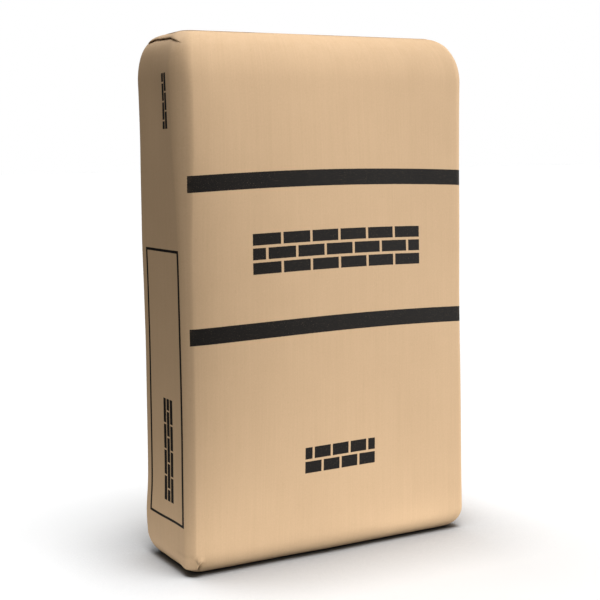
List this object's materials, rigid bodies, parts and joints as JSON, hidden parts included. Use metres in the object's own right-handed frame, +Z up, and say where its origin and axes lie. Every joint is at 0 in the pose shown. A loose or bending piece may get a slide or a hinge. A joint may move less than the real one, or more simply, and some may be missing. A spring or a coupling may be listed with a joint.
{
  "type": "cement bag",
  "caption": "Filled kraft paper cement sack with pasted block ends and a valve sleeve, standing on its end.",
  "frame": {"origin": "middle of the flat underside that the sack stands on", "axes": "+Z up along the sack's length, X across its broad faces, +Y from the printed front to the back, with the valve mouth at -X"},
  "size_m": [0.3422, 0.1326, 0.55],
  "materials": {
    "kraft_paper": "matt uncoated kraft paper with fine ribs along its length",
    "cement_powder": "fine dry grey powder",
    "patch_paper": "matt uncoated kraft paper",
    "sleeve_paper": "matt uncoated kraft paper"
  },
  "bodies": {
    "root": {"paper_sack": "kraft_paper", "cement_fill": "cement_powder", "top_cover_patch": "patch_paper", "bottom_cover_patch": "patch_paper", "valve_sleeve": "sleeve_paper"}
  },
  "joints": []
}
